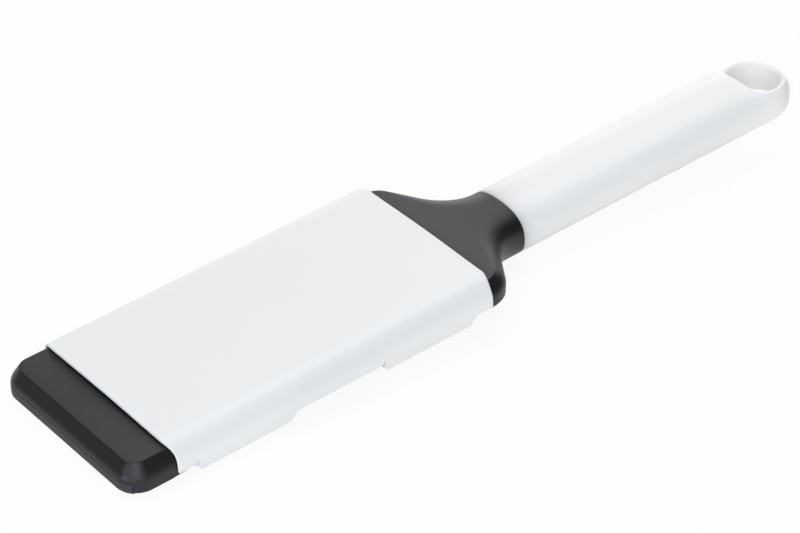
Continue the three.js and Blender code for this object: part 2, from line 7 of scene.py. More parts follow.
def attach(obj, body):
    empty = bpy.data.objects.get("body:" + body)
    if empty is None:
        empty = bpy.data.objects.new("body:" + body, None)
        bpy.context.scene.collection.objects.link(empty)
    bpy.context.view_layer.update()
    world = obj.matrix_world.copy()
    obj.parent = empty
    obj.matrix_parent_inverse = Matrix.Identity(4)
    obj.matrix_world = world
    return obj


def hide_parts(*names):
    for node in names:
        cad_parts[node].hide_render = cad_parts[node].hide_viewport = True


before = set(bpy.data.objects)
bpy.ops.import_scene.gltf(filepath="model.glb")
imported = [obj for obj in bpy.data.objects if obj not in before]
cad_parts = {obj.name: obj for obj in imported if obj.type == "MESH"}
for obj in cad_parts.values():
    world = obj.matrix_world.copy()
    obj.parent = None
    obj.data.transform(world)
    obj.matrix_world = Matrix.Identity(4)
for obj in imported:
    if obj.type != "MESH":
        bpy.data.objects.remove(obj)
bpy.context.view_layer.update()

# sizes are in millimetres and angles in degrees: x from the tip, y across, z up from the frame's
# flat underside
mmPerMetre = 1000
whole = {
    "length": 320.0,
    "handleAxis": -1.0,
    "handleHalf": (14.0, 9.85),  # half width and half height of the oval grip
    "ovalPower": 2.45,
    "collarEnd": 183.7,
}
overcut = 2.0  # how far a cutting block reaches past the piece
sameSpot = {"made": 1e-6, "joined": 2e-6}  # points closer than this are one, in metres


# millimetres on the part to metres in the shared frame
def place(x, y, z):
    lift = whole["handleHalf"][1] - whole["handleAxis"]
    return Vector(((x - whole["length"] / 2) / mmPerMetre, y / mmPerMetre, (z + lift) / mmPerMetre))


def mix(a, b, share):
    return a + (b - a) * share


# 0 to 1 between two values, with a soft start and end
def smooth(value, low, high):
    t = min(max((value - low) / (high - low), 0.0), 1.0)
    return t * t * (3 - 2 * t)


# angles from 0 to 90 degrees in equal steps
def quarterTurn(steps, first=0):
    return [math.radians(90 * k / steps) for k in range(first, steps + 1)]


# direction from the part to a lamp or the camera
def lookFrom(azimuth, elevation):
    around, up = math.radians(azimuth), math.radians(elevation)
    return Vector((math.sin(around) * math.cos(up), -math.cos(around) * math.cos(up), math.sin(up)))


# sRGB hex to the linear values that sockets take
def linearColour(hexCode):
    channels = [int(hexCode[k:k + 2], 16) / 255 for k in (1, 3, 5)]
    linear = [c / 12.92 if c <= 0.04045 else ((c + 0.055) / 1.055) ** 2.4 for c in channels]
    return (*linear, 1.0)


def addNode(tree, kind, settings=None, inputs=None):
    item = tree.nodes.new(kind)
    for name, value in (settings or {}).items():
        setattr(item, name, value)
    for name, value in (inputs or {}).items():
        socket = item.inputs[name]
        if isinstance(value, bpy.types.NodeSocket):
            tree.links.new(value, socket)
        else:
            socket.default_value = value
    return item


def addObject(name, data):
    item = bpy.data.objects.new(name, data)
    bpy.context.scene.collection.objects.link(item)
    return item


# merge doubles and turn the faces outward
def weld(piece, distance):
    work = bmesh.new()
    work.from_mesh(piece.data)
    bmesh.ops.remove_doubles(work, verts=work.verts, dist=distance)
    bmesh.ops.dissolve_degenerate(work, edges=work.edges, dist=distance)
    bmesh.ops.recalc_face_normals(work, faces=work.faces)
    work.to_mesh(piece.data)
    work.free()


def makePiece(name, points, faces):
    mesh = bpy.data.meshes.new(name)
    mesh.from_pydata([place(*p) for p in points], [], faces)
    piece = addObject(name, mesh)
    weld(piece, sameSpot["made"])
    return piece


# turn the live modifiers into plain mesh
def bake(piece):
    view = bpy.context.evaluated_depsgraph_get()
    mesh = bpy.data.meshes.new_from_object(piece.evaluated_get(view))
    piece.modifiers.clear()
    old = piece.data
    piece.data = mesh
    bpy.data.meshes.remove(old)


def carve(piece, tools, operation):
    for tool in tools:
        cut = piece.modifiers.new("carve", "BOOLEAN")
        cut.operation = operation
        cut.solver = "EXACT"
        cut.object = tool
    bake(piece)
    for tool in tools:
        bpy.data.objects.remove(tool)


def shade(piece, degrees):
    for face in piece.data.polygons:
        face.use_smooth = True
    piece.data.set_sharp_from_angle(angle=math.radians(degrees))


def dress(piece, material, body, node):
    piece.data.name = piece.name
    piece.data.materials.clear()
    piece.data.materials.append(material)
    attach(piece, body)
    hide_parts(node)
    print(piece.name, "has", len(piece.data.polygons), "faces")


# quads between closed rings of equal length, whose points follow one another from base on
def tubeFaces(count, size, base=0, wrap=False):
    faces = []
    for r in range(count if wrap else count - 1):
        here, there = base + r * size, base + (r + 1) % count * size
        for k in range(size):
            n = (k + 1) % size
            faces.append((here + k, here + n, there + n, there + k))
    return faces


# closed rings of equal length joined in order and capped at both ends
def joinRings(rings):
    size = len(rings[0])
    points = [p for ring in rings for p in ring]
    faces = tubeFaces(len(rings), size)
    last = (len(rings) - 1) * size
    faces.append(tuple(range(size)))
    faces.append(tuple(range(last, last + size)))
    return points, faces


def ovalPoint(x, halfWidth, halfHeight, angle):
    power = 2 / whole["ovalPower"]
    c, s = math.cos(angle), math.sin(angle)
    y = halfWidth * math.copysign(abs(c) ** power, c)
    z = whole["handleAxis"] + halfHeight * math.copysign(abs(s) ** power, s)
    return (x, y, z)


# plan outline of a rectangle with round corners
def roundedLoop(x0, x1, half, corner, steps):
    loop = []
    centres = [(x1 - corner, half - corner, 0), (x0 + corner, half - corner, 90),
               (x0 + corner, corner - half, 180), (x1 - corner, corner - half, 270)]
    for cx, cy, start in centres:
        for k in range(steps + 1):
            a = math.radians(start + 90 * k / steps)
            loop.append((cx + corner * math.cos(a), cy + corner * math.sin(a)))
    return loop


# upright solid from a plan outline given at several heights
def stack(name, levels):
    rings = [[(x, y, z) for x, y in loop] for loop, z in levels]
    return makePiece(name, *joinRings(rings))


def block(name, x0, x1, y0, y1, z0, z1):
    loop = [(x0, y0), (x1, y0), (x1, y1), (x0, y1)]
    return stack(name, [(loop, z0), (loop, z1)])


# Materials
noiseSpan = (0.3, 0.7)  # where nearly all of a noise texture's values lie


def bareMaterial(name):
    material = bpy.data.materials.new(name)
    material.use_nodes = True
    material.node_tree.nodes.clear()
    return material, material.node_tree


# moulded plastic: the tool's spark texture breaks up the gloss, broad sink marks bend it a little,
# and the colour drifts by a shade with the flow of the melt; the grain is coarser than a real one,
# so that it shows
def mouldedPlastic(look):
    material, tree = bareMaterial(look["name"])
    where = addNode(tree, "ShaderNodeTexCoord").outputs["Object"]
    drift = addNode(tree, "ShaderNodeTexNoise", {"noise_dimensions": "3D"}, {
        "Vector": where, "Scale": mmPerMetre / look["driftMm"], "Detail": 2.0, "Roughness": 0.5})
    tint = addNode(tree, "ShaderNodeMix", {"data_type": "RGBA"}, {
        "Factor": drift.outputs["Fac"],
        "A": linearColour(look["colours"][0]), "B": linearColour(look["colours"][1])})
    grain = addNode(tree, "ShaderNodeTexNoise", {"noise_dimensions": "3D"}, {
        "Vector": where, "Scale": mmPerMetre / look["grainMm"], "Detail": 3.0, "Roughness": 0.6})
    polish = addNode(tree, "ShaderNodeMapRange", None, {
        "Value": grain.outputs["Fac"], "From Min": noiseSpan[0], "From Max": noiseSpan[1],
        "To Min": look["roughness"][0], "To Max": look["roughness"][1]})
    sink = addNode(tree, "ShaderNodeBump", None, {
        "Height": drift.outputs["Fac"], "Strength": 1.0, "Distance": look["sinkMm"] / mmPerMetre})
    texture = addNode(tree, "ShaderNodeBump", None, {
        "Height": grain.outputs["Fac"], "Strength": look["grainStrength"],
        "Distance": look["grainDepthMm"] / mmPerMetre, "Normal": sink.outputs["Normal"]})
    surface = addNode(tree, "ShaderNodeBsdfPrincipled", None, {
        "Base Color": tint.outputs["Result"], "Roughness": polish.outputs["Result"],
        "IOR": look["ior"], "Normal": texture.outputs["Normal"], "Specular IOR Level": look["gloss"],
        "Subsurface Weight": look["glow"], "Subsurface Radius": (1.0, 1.0, 1.0),
        "Subsurface Scale": look["glowMm"] / mmPerMetre})
    addNode(tree, "ShaderNodeOutputMaterial", None, {"Surface": surface.outputs["BSDF"]})
    return material


# pressed stainless sheet: rolling lines along the length soften a cool mirror; they are wider than
# real ones, so that they show
def rolledSteel(look):
    material, tree = bareMaterial(look["name"])
    where = addNode(tree, "ShaderNodeTexCoord").outputs["Object"]
    along, across = mmPerMetre / look["lineLengthMm"], mmPerMetre / look["lineMm"]
    stretch = addNode(tree, "ShaderNodeMapping", None, {
        "Vector": where, "Scale": (along, across, across)})
    lines = addNode(tree, "ShaderNodeTexNoise", {"noise_dimensions": "3D"}, {
        "Vector": stretch.outputs["Vector"], "Scale": 1.0, "Detail": 4.0, "Roughness": 0.65})
    tint = addNode(tree, "ShaderNodeMix", {"data_type": "RGBA"}, {
        "Factor": lines.outputs["Fac"],
        "A": linearColour(look["colours"][0]), "B": linearColour(look["colours"][1])})
    polish = addNode(tree, "ShaderNodeMapRange", None, {
        "Value": lines.outputs["Fac"], "From Min": noiseSpan[0], "From Max": noiseSpan[1],
        "To Min": look["roughness"][0], "To Max": look["roughness"][1]})
    texture = addNode(tree, "ShaderNodeBump", None, {
        "Height": lines.outputs["Fac"], "Strength": look["lineStrength"],
        "Distance": look["lineDepthMm"] / mmPerMetre})
    surface = addNode(tree, "ShaderNodeBsdfPrincipled", None, {
        "Base Color": tint.outputs["Result"], "Roughness": polish.outputs["Result"],
        "Metallic": 1.0, "Normal": texture.outputs["Normal"]})
    addNode(tree, "ShaderNodeOutputMaterial", None, {"Surface": surface.outputs["BSDF"]})
    return material


# white ABS of the grip: thick enough to let light in, so its shaded side stays pale
whiteAbs = mouldedPlastic({
    "name": "white_abs_grip", "colours": ("#f0f0ef", "#f4f4f3"), "driftMm": 45.0, "sinkMm": 0.05,
    "grainMm": 0.6, "grainDepthMm": 0.02, "grainStrength": 0.25, "roughness": (0.34, 0.44),
    "ior": 1.53, "gloss": 0.5, "glow": 0.9, "glowMm": 8.0})
# the same white in the cover's thin wall: a plain, slightly crisper sheen
coverAbs = mouldedPlastic({
    "name": "white_abs_cover", "colours": ("#f0f0ef", "#f4f4f3"), "driftMm": 60.0, "sinkMm": 0.06,
    "grainMm": 0.6, "grainDepthMm": 0.02, "grainStrength": 0.25, "roughness": (0.32, 0.42),
    "ior": 1.53, "gloss": 0.5, "glow": 0.0, "glowMm": 1.0})
# black ABS of the frame: the fine texture spreads each light into a grey satin
blackAbs = mouldedPlastic({
    "name": "black_abs_frame", "colours": ("#151618", "#1a1b1d"), "driftMm": 40.0, "sinkMm": 0.03,
    "grainMm": 0.5, "grainDepthMm": 0.03, "grainStrength": 0.35, "roughness": (0.36, 0.48),
    "ior": 1.53, "gloss": 0.38, "glow": 0.0, "glowMm": 1.0})
# black ABS of the clamping ring: a shade greyer and duller
ringAbs = mouldedPlastic({
    "name": "black_abs_ring", "colours": ("#1f2022", "#27282a"), "driftMm": 40.0, "sinkMm": 0.03,
    "grainMm": 0.5, "grainDepthMm": 0.03, "grainStrength": 0.35, "roughness": (0.42, 0.54),
    "ior": 1.53, "gloss": 0.5, "glow": 0.0, "glowMm": 1.0})
# soft TPE of the foot: matte and greyer than the frame, with no clear highlight
softTpe = mouldedPlastic({
    "name": "soft_tpe_foot", "colours": ("#2b2c2f", "#343538"), "driftMm": 20.0, "sinkMm": 0.03,
    "grainMm": 0.7, "grainDepthMm": 0.05, "grainStrength": 0.5, "roughness": (0.58, 0.7),
    "ior": 1.5, "gloss": 0.4, "glow": 0.0, "glowMm": 1.0})
bladeSteel = rolledSteel({
    "name": "stainless_blade_sheet", "colours": ("#b9bcbf", "#d3d5d6"), "lineMm": 0.35,
    "lineLengthMm": 25.0, "lineDepthMm": 0.01, "lineStrength": 0.4, "roughness": (0.2, 0.34)})
print("materials ready")

# Frame: tip, rails, shoulders, neck and collar as one skin of edge profiles round the plan outline
frameLook = {
    "width": 73.8, "height": 10.2, "tipCorner": 8.3, "shoulderRadius": 13.0, "shoulderTurn": 55.8,
    "neckFillet": 18.7, "collarLength": 1.6, "ovalLead": 5.0, "ovalEnd": 2.2, "ovalSpan": 86.0,
    "bottomEdge": 0.9, "railBottom": 1.4, "tipBottom": 0.2, "frontBottom": 1.15, "tipSide": 16.5,
    "sole": 0.0, "wallTop": 3.5, "neckWallTop": 4.0, "neckHeight": 9.3, "neckRamp": 3.5,
    "crease": 3.4, "frontCrease": 3.5, "neckCrease": 3.9, "bevelBlend": 0.45, "neckBlend": 0.7,
    "creaseRound": 0.25, "seamRound": 0.25, "smoothUnder": 24.0,
    "steps": {"corner": 24, "shoulder": 18, "slope": 5, "fillet": 28, "collar": 8, "seam": 3,
              "bottom": 6, "bevel": 18, "crease": 4},
}
bladeSeat = {
    "start": 25.2, "length": 118.0, "rail": 6.65, "corner": 4.0, "cornerSteps": 10, "overlap": 2.6,
    "lip": 1.1, "lipRound": 0.35, "lipSteps": 4, "sheet": 0.5, "clearance": 0.3,
}
footLook = {"inset": 2.4, "depth": 6.8, "height": 3.9, "seam": 0.25, "backGap": 0.02, "proud": 0.3,
            "smoothUnder": 30.0}


# points along one side of the plan outline, from the tip's front to the collar, each with its
# outward direction and its shares of the edge forms
def outlineStations(look):
    half = look["width"] / 2
    grip = whole["handleHalf"][0]
    turn = math.radians(look["shoulderTurn"])
    turnCos, turnSin = math.cos(turn), math.sin(turn)
    collarStart = whole["collarEnd"] - look["collarLength"]
    fillet, shoulder = look["neckFillet"], look["shoulderRadius"]
    slopeDrop = half - shoulder * (1 - turnCos) - grip - fillet * (1 - turnCos)
    slope = slopeDrop / turnSin
    shoulderX = collarStart - fillet * turnSin - slope * turnCos - shoulder * turnSin
    turnStart = shoulderX + shoulder * turnSin - look["ovalLead"]
    turnEnd = whole["collarEnd"] - look["ovalEnd"]
    corner = look["tipCorner"]
    steps = look["steps"]
    stations = []

    def add(x, y, nx, ny, front=0.0, pull=0.0, rail=0.0, tip=0.0):
        neck = min(1.0, max(0.0, (x - corner) / (shoulderX - corner)))
        stations.append({"x": x, "y": y, "nx": nx, "ny": ny, "front": front, "neck": neck, "rail": rail,
                         "tip": tip, "ramp": 1.0 if neck == 1.0 else 0.0, "pull": pull,
                         "oval": smooth(x, turnStart, turnEnd)})

    for k, a in enumerate(quarterTurn(steps["corner"])):
        c, s = math.cos(a), math.sin(a)
        add(corner * (1 - c), half - corner * (1 - s), -c, s, front=1 - k / steps["corner"], tip=1.0)
    add(look["tipSide"], half, 0.0, 1.0, tip=1.0)
    for x in (bladeSeat["start"], shoulderX - look["neckRamp"]):
        add(x, half, 0.0, 1.0, rail=1.0)
    for k in range(steps["shoulder"] + 1):
        b = turn * k / steps["shoulder"]
        c, s = math.cos(b), math.sin(b)
        add(shoulderX + shoulder * s, half - shoulder * (1 - c), s, c)
    slopeX, slopeY = stations[-1]["x"], stations[-1]["y"]
    for k in range(1, steps["slope"]):
        run = slope * k / steps["slope"]
        add(slopeX + run * turnCos, slopeY - run * turnSin, turnSin, turnCos)
    for k in range(steps["fillet"] + 1):
        b = turn * (1 - k / steps["fillet"])
        c, s = math.cos(b), math.sin(b)
        add(collarStart - fillet * s, grip + fillet * (1 - c), s, c)
    seam = look["seamRound"]
    for k in range(1, steps["collar"] + 1):
        add(mix(collarStart, whole["collarEnd"] - seam, k / steps["collar"]), grip, 0.0, 1.0)
    for a in quarterTurn(steps["seam"], 1):
        add(whole["collarEnd"] - seam * (1 - math.sin(a)), grip, 0.0, 1.0, pull=seam * (1 - math.cos(a)))
    return stations


# inset and height along the plate's edge, from the underside to the flat top: the wall rounds
# into a straight bevel
def plateEdge(look, station):
    crease = mix(look["crease"], look["neckCrease"], station["neck"])
    crease = mix(crease, look["frontCrease"], station["front"])
    low = mix(look["bottomEdge"], look["railBottom"], station["rail"])
    low = mix(low, look["tipBottom"], station["tip"])
    low = mix(low, look["frontBottom"], station["front"])
    wallTop = mix(look["wallTop"], look["neckWallTop"], station["neck"])
    height = mix(look["height"], look["neckHeight"], station["ramp"])
    blend = mix(look["bevelBlend"], look["neckBlend"], station["neck"])
    run = crease / (1 - blend / 2)
    steps = look["steps"]
    edge = []
    for a in quarterTurn(steps["bottom"]):
        edge.append((low * (1 - math.sin(a)), low * (1 - math.cos(a)) - look["sole"]))
    edge.append((0.0, mix(low, wallTop, 0.5)))  # halfway up the wall
    soft = look["creaseRound"]
    stop = 1 - soft / math.hypot(run, height - wallTop)
    for k in range(steps["bevel"] + 1):
        s = stop * k / steps["bevel"]
        inset = run * s * s / (2 * blend) if s < blend else run * (s - blend / 2)
        edge.append((inset, mix(wallTop, height, s)))
    first, bend, last = edge[-1], (crease, height), (crease + soft, height)
    for k in range(1, steps["crease"] + 1):
        t = k / steps["crease"]
        edge.append(tuple(mix(mix(p, q, t), mix(q, r, t), t) for p, q, r in zip(first, bend, last)))
    return edge


# toward the collar each edge profile turns into the grip's oval
def frameSkin(name, look):
    stations = outlineStations(look)
    grip, rise = whole["handleHalf"]
    levels = len(plateEdge(look, stations[0]))
    span = look["ovalSpan"]
    points = []
    for side in (1, -1):
        for s in stations:
            edge = plateEdge(look, s)
            for j, (inset, z) in enumerate(edge):
                angle = math.radians(mix(-span, span, j / (levels - 1)))
                oval = ovalPoint(s["x"], grip - s["pull"], rise - s["pull"], angle)
                shift = mix(inset, grip - oval[1], s["oval"])
                x, y = s["x"] - s["nx"] * shift, side * (s["y"] - s["ny"] * shift)
                points.append((x, y, mix(z, oval[2], s["oval"])))
    count = len(stations)

    def at(side, i, j):
        return (side * count + i) * levels + j

    top, last = levels - 1, count - 1
    faces = []
    for i in range(last):
        for j in range(top):
            for side in (0, 1):
                faces.append((at(side, i, j), at(side, i, j + 1),
                              at(side, i + 1, j + 1), at(side, i + 1, j)))
        faces.append((at(0, i, top), at(1, i, top), at(1, i + 1, top), at(0, i + 1, top)))
        faces.append((at(0, i, 0), at(0, i + 1, 0), at(1, i + 1, 0), at(1, i, 0)))
    for j in range(top):
        faces.append((at(0, 0, j), at(1, 0, j), at(1, 0, j + 1), at(0, 0, j + 1)))
    nearEnd = tuple(at(0, last, j) for j in range(levels))
    farEnd = tuple(at(1, last, j) for j in range(top, -1, -1))
    faces.append(nearEnd + farEnd)
    return makePiece(name, points, faces)


windowHalf = frameLook["width"] / 2 - bladeSeat["rail"]
windowEnd = bladeSeat["start"] + bladeSeat["length"]
sheetTop = frameLook["height"] - bladeSeat["lip"]
sheetBottom = sheetTop - bladeSeat["sheet"]


# window outline grown by a margin
def windowLoop(margin):
    return roundedLoop(bladeSeat["start"] - margin, windowEnd + margin, windowHalf + margin,
                       bladeSeat["corner"] + margin, bladeSeat["cornerSteps"])


def makeFrame():
    piece = frameSkin("frame_body", frameLook)
    height = frameLook["height"]
    seat = bladeSeat["overlap"] + bladeSeat["clearance"]
    pocket = stack("pocket", [(windowLoop(seat), -overcut), (windowLoop(seat), sheetTop)])
    soft = bladeSeat["lipRound"]
    flare = [(windowLoop(0), overcut), (windowLoop(0), height - soft)]  # starts inside the pocket
    for a in quarterTurn(bladeSeat["lipSteps"], 1):
        flare.append((windowLoop(soft * (1 - math.cos(a))), height - soft * (1 - math.sin(a))))
    flare.append((windowLoop(soft), height + overcut))
    window = stack("window", flare)
    reach = frameLook["width"] / 2 - footLook["inset"] + footLook["seam"]
    notchTop = footLook["height"] + footLook["seam"]
    notch = block("notch", -overcut, footLook["depth"], -reach, reach, -overcut, notchTop)
    carve(piece, [pocket, window, notch], "DIFFERENCE")
    shade(piece, frameLook["smoothUnder"])
    dress(piece, blackAbs, "grater", "frame")


# Tip foot: the front of the same skin with a lower sole
def makeFoot():
    piece = frameSkin("tip_strip", dict(frameLook, sole=footLook["proud"]))
    reach = frameLook["width"] / 2 - footLook["inset"]
    back = footLook["depth"] - footLook["backGap"]
    keep = block("keep", -overcut, back, -reach, reach, -overcut, footLook["height"])
    carve(piece, [keep], "INTERSECT")
    shade(piece, footLook["smoothUnder"])
    dress(piece, softTpe, "grater", "tip_foot")


makeFrame()
makeFoot()

# Handle shell: an oval grip whose end is built as rays round the hanging hole
handleLook = {
    "endRound": 11.0, "endPower": 2.4, "holeLength": 17.4, "holeWidth": 18.2, "holeEndWall": 3.6,
    "holeCorner": 5.5, "rimRound": 2.0, "join": 280.0, "endDrop": 2.2, "dropPower": 1.25,
    "seamRound": 0.25, "rayReach": 80.0, "halvings": 50, "smoothUnder": 35.0,
    "steps": {"across": 72, "end": 220, "top": 30, "rim": 5, "seam": 3, "grip": 8},
}


def handleHalfSizes(x):
    grip, rise = whole["handleHalf"]
    fromEnd = max(whole["length"] - x, 0.0)
    plan = min(fromEnd / grip, 1.0)
    side = min(fromEnd / handleLook["endRound"], 1.0)
    power = handleLook["endPower"]
    return grip * math.sqrt(1 - (1 - plan) ** 2), rise * (1 - (1 - side) ** power) ** (1 / power)


def handleRise(x, y):
    half, rise = handleHalfSizes(x)
    if half <= abs(y):
        return 0.0
    return rise * (1 - (abs(y) / half) ** whole["ovalPower"]) ** (1 / whole["ovalPower"])


# the top falls away toward the end, the underside stays straight
def topShare(x):
    run = max(x - handleLook["join"], 0.0) / (whole["length"] - handleLook["join"])
    return 1 - handleLook["endDrop"] / whole["handleHalf"][1] * run ** handleLook["dropPower"]


def insideHole(x, y):
    end = whole["length"] - handleLook["holeEndWall"]
    start = end - handleLook["holeLength"]
    half = handleLook["holeWidth"] / 2
    corner = handleLook["holeCorner"]
    if x < start or x > end or abs(y) > half:
        return False
    if x > end - half:
        return (x - end + half) ** 2 + y * y <= half * half
    if x < start + corner and abs(y) > half - corner:
        return (start + corner - x) ** 2 + (abs(y) - half + corner) ** 2 <= corner * corner
    return True


def insideLoop(x, y):
    return handleLook["join"] <= x <= whole["length"] and abs(y) <= handleHalfSizes(x)[0]


# how far a ray from the hole's middle stays inside
def reachAlong(test, cx, angle):
    low, high = 0.0, handleLook["rayReach"]
    for _ in range(handleLook["halvings"]):
        middle = (low + high) / 2
        if test(cx + middle * math.cos(angle), middle * math.sin(angle)):
            low = middle
        else:
            high = middle
    return low


# one ray over the upper half: up the hole's wall, round its rim and over the top to the outside,
# or to the straight grip where planeY is given
def handleRay(cx, angle, planeY):
    join, rim, steps = handleLook["join"], handleLook["rimRound"], handleLook["steps"]
    c, s = math.cos(angle), math.sin(angle)
    hole = reachAlong(insideHole, cx, angle)
    outer = reachAlong(insideLoop, cx, angle) if planeY is None else math.hypot(join - cx, planeY)
    inner = hole + rim
    rimZ = handleRise(cx + inner * c, inner * s)
    ray = [(hole, 0.0), (hole, rimZ * 0.5), (hole, rimZ - rim)]
    for a in quarterTurn(steps["rim"], 1):
        ray.append((hole + rim * (1 - math.cos(a)), rimZ - rim * (1 - math.sin(a))))
    for k in range(1, steps["top"] + 1):
        r = mix(inner, outer, math.sin(math.pi / 2 * k / steps["top"]))
        z = handleRise(cx + r * c, r * s)
        if k == steps["top"]:
            z = 0.0 if planeY is None else handleRise(join, planeY)
        ray.append((r, z))
    return [(cx + r * c, r * s, z) for r, z in ray]


def makeHandle():
    grip, rise = whole["handleHalf"]
    join, steps = handleLook["join"], handleLook["steps"]
    cx = whole["length"] - handleLook["holeEndWall"] - handleLook["holeWidth"] / 2
    halfTurn = [math.pi * k / steps["across"] for k in range(steps["across"] + 1)]
    across = [ovalPoint(join, grip, rise, a)[1] for a in halfTurn]
    planeAngles = [math.atan2(y, join - cx) % (2 * math.pi) for y in across]
    span = planeAngles[0] + 2 * math.pi - planeAngles[-1]
    endAngles = [planeAngles[-1] + span * k / steps["end"] for k in range(1, steps["end"])]
    rays = [handleRay(cx, a, y) for a, y in zip(planeAngles, across)]
    rays += [handleRay(cx, a, None) for a in endAngles]
    axis = whole["handleAxis"]
    count, size = len(rays), len(rays[0])
    points, faces = [], []
    for up in (1, -1):
        for ray in rays:
            points += [(x, y, axis + (z * topShare(x) if up > 0 else -z)) for x, y, z in ray]
    for half in (0, 1):
        for i in range(count):
            n = (i + 1) % count
            for k in range(size - 1):
                a, b = (half * count + i) * size + k, (half * count + n) * size + k
                faces.append((a, b, b + 1, a + 1))
    # straight grip from the collar to where the rays begin
    seam, start = handleLook["seamRound"], whole["collarEnd"]
    stations = []
    for a in reversed(quarterTurn(steps["seam"])):
        stations.append((start + seam * (1 - math.sin(a)), seam * (1 - math.cos(a))))
    stations += [(mix(start + seam, join, k / steps["grip"]), 0.0) for k in range(1, steps["grip"] + 1)]
    base = len(points)
    ringSize = 2 * steps["across"]
    for x, pull in stations:
        for k in range(ringSize):
            points.append(ovalPoint(x, grip - pull, rise - pull, 2 * math.pi * k / ringSize))
    faces += tubeFaces(len(stations), ringSize, base)
    faces.append(tuple(range(base, base + ringSize)))
    piece = makePiece("grip_shell", points, faces)
    weld(piece, sameSpot["joined"])
    shade(piece, handleLook["smoothUnder"])
    dress(piece, whiteAbs, "grater", "handle_shell")


makeHandle()

# Blade cover: a channel with round shoulders, a faint crown and ends that lean in round the
# shoulders, two hooked tabs a side and a relief slit at each tab
coverLook = {
    "start": 16.9, "length": 133.5, "wall": 1.0, "topWall": 1.2, "sideGap": 0.25, "topGap": 1.08,
    "corner": 8.0, "innerCorner": 6.0, "crown": 0.4, "rake": 1.4, "rakeCurve": 6.0, "skirt": 1.95,
    "tipEnd": {"round": 0.25, "run": 0.6, "open": 0.2},
    "gripEnd": {"round": 0.5, "run": 0.6, "open": 0.0},
    "endAngles": (90, 67, 45, 22, 0), "smoothUnder": 28.0,
    "hookGapBelow": 0.3, "hookThick": 1.0, "hookReach": 3.0, "hookRoot": 1.2, "toeRound": 0.25,
    "heelRound": 0.5, "leadIn": 3.0, "hookCorner": 2.0, "hookLength": 39.7,
    "hookStarts": (26.05, 102.05), "slit": 0.4, "slitDepth": 1.1, "slitPast": 0.001, "cutPast": 1.0,
    "steps": {"shoulder": 24, "crown": 12, "heel": 6, "hookCorner": 8},
}
coverInner = frameLook["width"] / 2 + coverLook["sideGap"]
coverOuter = coverInner + coverLook["wall"]
coverTop = frameLook["height"] + coverLook["topGap"] + coverLook["topWall"]


# half of a channel line, from the wall up the round shoulder to the crown
def coverArch(half, top, bend):
    flat, crown, steps = half - bend, coverLook["crown"], coverLook["steps"]
    arch = []
    for a in quarterTurn(steps["shoulder"]):
        arch.append((flat + bend * math.cos(a), top - crown - bend * (1 - math.sin(a))))
    for k in range(1, steps["crown"] + 1):
        share = 1 - k / steps["crown"]
        arch.append((flat * share, top - crown * math.sin(math.pi / 2 * share) ** 2))
    return arch


# how far the ends lean in at a height: most of it round the shoulder
def coverLean(z):
    shoulder = coverTop - coverLook["crown"]
    share = max(shoulder - z, 0.0) / (shoulder - coverLook["skirt"])
    return coverLook["rake"] * (1 - (1 - share) ** coverLook["rakeCurve"])


# closed channel section as lean, y and z; at the ends the outside draws in and the inside opens
def coverSection(drawn, opened):
    look = coverLook
    leans = [coverLean(z) for y, z in coverArch(coverOuter, coverTop, look["corner"])]
    outer = coverArch(coverOuter - drawn, coverTop - drawn, look["corner"] - drawn)
    inner = coverArch(coverInner + opened, coverTop - look["topWall"] + opened,
                      look["innerCorner"] + opened)
    outer = [(lean, y, z) for lean, (y, z) in zip(leans, outer)]
    inner = [(lean, y, z) for lean, (y, z) in zip(leans, inner)]
    low, foot = look["skirt"] + drawn, look["rake"]
    path = [(foot, coverOuter - drawn, low)] + outer
    path += [(lean, -y, z) for lean, y, z in reversed(outer[:-1])]
    path += [(foot, drawn - coverOuter, low), (foot, -coverInner - opened, low)]
    path += [(lean, -y, z) for lean, y, z in inner]
    path += list(reversed(inner[:-1])) + [(foot, coverInner + opened, low)]
    return path


# how far the outside draws in and the inside opens along the last bit of an end
def coverEnd(form):
    steps = []
    for angle in coverLook["endAngles"]:
        a = math.radians(angle)
        run = form["round"] * (1 - math.sin(a))
        steps.append((run, form["round"] * (1 - math.cos(a)), form["open"] * (1 - run / form["run"])))
    return steps + [(form["run"], 0.0, 0.0)]


# one tab: a hooked section drawn along the wall, then cut to its side outline
def coverHook(startX, side):
    look, steps = coverLook, coverLook["steps"]
    endX = startX + look["hookLength"]
    toe, root = coverInner - look["hookReach"], look["skirt"] + look["hookRoot"]
    top = -look["hookGapBelow"]
    low = top - look["hookThick"]
    soft, heel = look["toeRound"], look["heelRound"]
    section = [(coverOuter, root), (coverInner, root), (coverInner, top), (toe + soft, top),
               (toe, top - soft), (toe, low + soft), (toe + soft, low)]
    for k in range(steps["heel"] + 1):
        a = math.radians(-90 + 90 * k / steps["heel"])
        section.append((coverOuter - heel * (1 - math.cos(a)), low + heel * (1 + math.sin(a))))
    rings = [[(x, side * y, z) for y, z in section] for x in (startX, endX)]
    hook = makePiece("hook", *joinRings(rings))
    corner = look["hookCorner"]
    outline = [(endX, look["skirt"] + overcut), (startX, look["skirt"] + overcut)]
    for k in range(steps["hookCorner"] + 1):
        a = math.radians(180 + 90 * k / steps["hookCorner"])
        outline.append((startX + corner * (1 + math.cos(a)), low + corner * (1 + math.sin(a))))
    outline += [(endX - look["leadIn"], low), (endX, look["skirt"])]
    far = coverOuter + look["cutPast"]
    sides = [[(x, y, z) for x, z in outline] for y in (-far, far)]
    carve(hook, [makePiece("hook_outline", *joinRings(sides))], "INTERSECT")
    return hook


